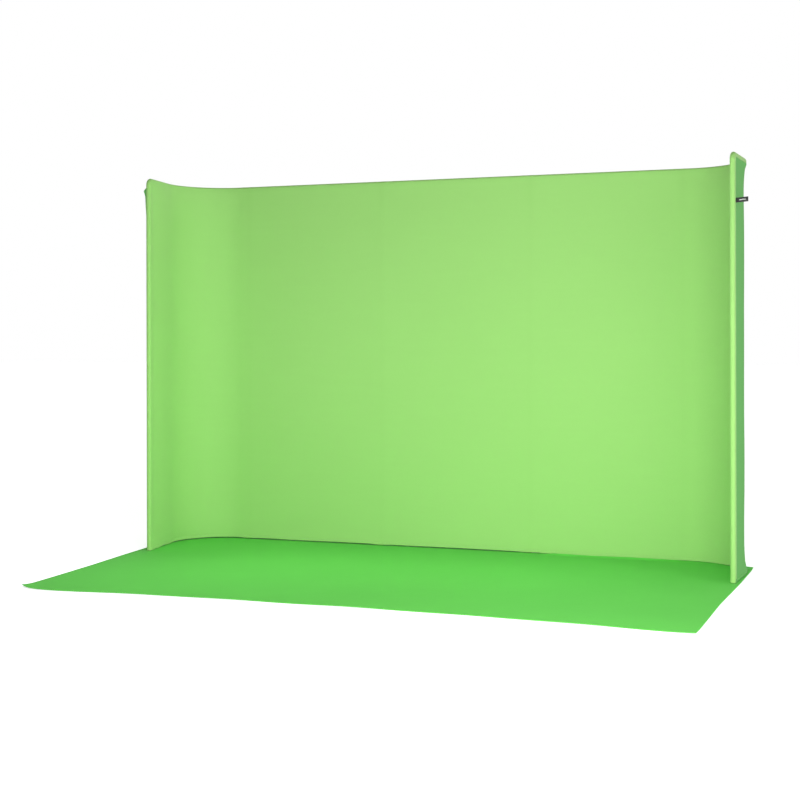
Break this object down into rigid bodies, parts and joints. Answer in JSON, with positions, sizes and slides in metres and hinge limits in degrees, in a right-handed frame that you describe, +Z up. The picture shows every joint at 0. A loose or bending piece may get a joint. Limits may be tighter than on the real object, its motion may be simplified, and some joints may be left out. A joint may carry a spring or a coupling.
{
  "type": "backdrop wall",
  "caption": "Free-standing U-shaped backdrop wall: a stretch fabric cover over a push-fit tube frame with rounded corners and short wings, standing on a floor mat.",
  "frame": {"origin": "on the floor under the mat, at the middle of the whole object's box", "axes": "+X along the wall to the right as seen from the stage, +Y away from the stage towards the wall's back, +Z up"},
  "size_m": [3.5164, 1.922, 2.2],
  "materials": {
    "mat_fabric": "matte",
    "cover_fabric": "matte",
    "tube": "satin",
    "connector": "matte",
    "spring_steel": "satin",
    "rivet": "satin",
    "zip_tape": "matte",
    "zip_coil": "satin",
    "zip_metal": "satin",
    "label": "satin"
  },
  "bodies": {
    "mat": {"floor_mat": "mat_fabric"},
    "lower_frame": {"bottom_tube_left": "tube", "bottom_tube_middle": "tube", "bottom_tube_right": "tube", "bottom_corner_tube_left": "tube", "bottom_corner_tube_right": "tube", "bottom_tee_outer_left": "connector", "bottom_tee_inner_left": "connector", "bottom_tee_inner_right": "connector", "bottom_tee_outer_right": "connector", "bottom_elbow_left": "connector", "bottom_elbow_right": "connector", "lower_post_end_left": "tube", "lower_post_outer_left": "tube", "lower_post_inner_left": "tube", "lower_post_inner_right": "tube", "lower_post_outer_right": "tube", "lower_post_end_right": "tube", "post_join_spigots": "tube", "lower_rivets": "rivet"},
    "upper_frame": {"top_tube_left": "tube", "top_tube_middle": "tube", "top_tube_right": "tube", "top_corner_tube_left": "tube", "top_corner_tube_right": "tube", "top_tee_outer_left": "connector", "top_tee_inner_left": "connector", "top_tee_inner_right": "connector", "top_tee_outer_right": "connector", "top_elbow_left": "connector", "top_elbow_right": "connector", "upper_post_end_left": "tube", "upper_post_outer_left": "tube", "upper_post_inner_left": "tube", "upper_post_inner_right": "tube", "upper_post_outer_right": "tube", "upper_post_end_right": "tube", "upper_rivets": "rivet"},
    "cover": {"cover_front": "cover_fabric", "cover_rear": "cover_fabric", "cover_top": "cover_fabric", "cover_hem": "cover_fabric", "zip_tapes": "zip_tape", "zip_teeth": "connector", "zip_stops": "zip_metal", "woven_label": "label"},
    "slider": {"zip_slider": "zip_metal"},
    "pull": {"zip_pull": "zip_metal"},
    "bottom_button_1": {"bottom_snap_button_1": "spring_steel"},
    "bottom_button_2": {"bottom_snap_button_2": "spring_steel"},
    "bottom_button_3": {"bottom_snap_button_3": "spring_steel"},
    "bottom_button_4": {"bottom_snap_button_4": "spring_steel"},
    "top_button_1": {"top_snap_button_1": "spring_steel"},
    "top_button_2": {"top_snap_button_2": "spring_steel"},
    "top_button_3": {"top_snap_button_3": "spring_steel"},
    "top_button_4": {"top_snap_button_4": "spring_steel"}
  },
  "joints": [
    {"name": "frame_lift", "type": "slide", "parent": "mat", "child": "lower_frame", "axis": [0, 0, 1], "range_m": [0, 0.1]},
    {"name": "frame_split", "type": "slide", "parent": "lower_frame", "child": "upper_frame", "axis": [0, 0, 1], "range_m": [0, 0.12]},
    {"name": "cover_lift", "type": "slide", "parent": "upper_frame", "child": "cover", "axis": [0, 0, 1], "range_m": [0, 2.25]},
    {"name": "slider_run", "type": "slide", "parent": "cover", "child": "slider", "axis": [0, 0, 1], "range_m": [0, 2.1]},
    {"name": "pull_swing", "type": "hinge", "parent": "slider", "child": "pull", "pos_m": [-1.70223, 0.31826, 0.033], "axis": [-0.1011, 0.9949, 0], "range_deg": [0, 170]},
    {"name": "snap_bottom_1", "type": "slide", "parent": "lower_frame", "child": "bottom_button_1", "axis": [0, 0, -1], "range_m": [0, 0.0038], "stiffness_N_per_m": 2000, "springref_m": -0.002},
    {"name": "snap_bottom_2", "type": "slide", "parent": "lower_frame", "child": "bottom_button_2", "axis": [0, 0, -1], "range_m": [0, 0.0038], "stiffness_N_per_m": 2000, "springref_m": -0.002},
    {"name": "snap_bottom_3", "type": "slide", "parent": "lower_frame", "child": "bottom_button_3", "axis": [0, 0, -1], "range_m": [0, 0.0038], "stiffness_N_per_m": 2000, "springref_m": -0.002},
    {"name": "snap_bottom_4", "type": "slide", "parent": "lower_frame", "child": "bottom_button_4", "axis": [0, 0, -1], "range_m": [0, 0.0038], "stiffness_N_per_m": 2000, "springref_m": -0.002},
    {"name": "snap_top_1", "type": "slide", "parent": "upper_frame", "child": "top_button_1", "axis": [0, 0, 1], "range_m": [0, 0.0038], "stiffness_N_per_m": 2000, "springref_m": -0.002},
    {"name": "snap_top_2", "type": "slide", "parent": "upper_frame", "child": "top_button_2", "axis": [0, 0, 1], "range_m": [0, 0.0038], "stiffness_N_per_m": 2000, "springref_m": -0.002},
    {"name": "snap_top_3", "type": "slide", "parent": "upper_frame", "child": "top_button_3", "axis": [0, 0, 1], "range_m": [0, 0.0038], "stiffness_N_per_m": 2000, "springref_m": -0.002},
    {"name": "snap_top_4", "type": "slide", "parent": "upper_frame", "child": "top_button_4", "axis": [0, 0, 1], "range_m": [0, 0.0038], "stiffness_N_per_m": 2000, "springref_m": -0.002}
  ]
}
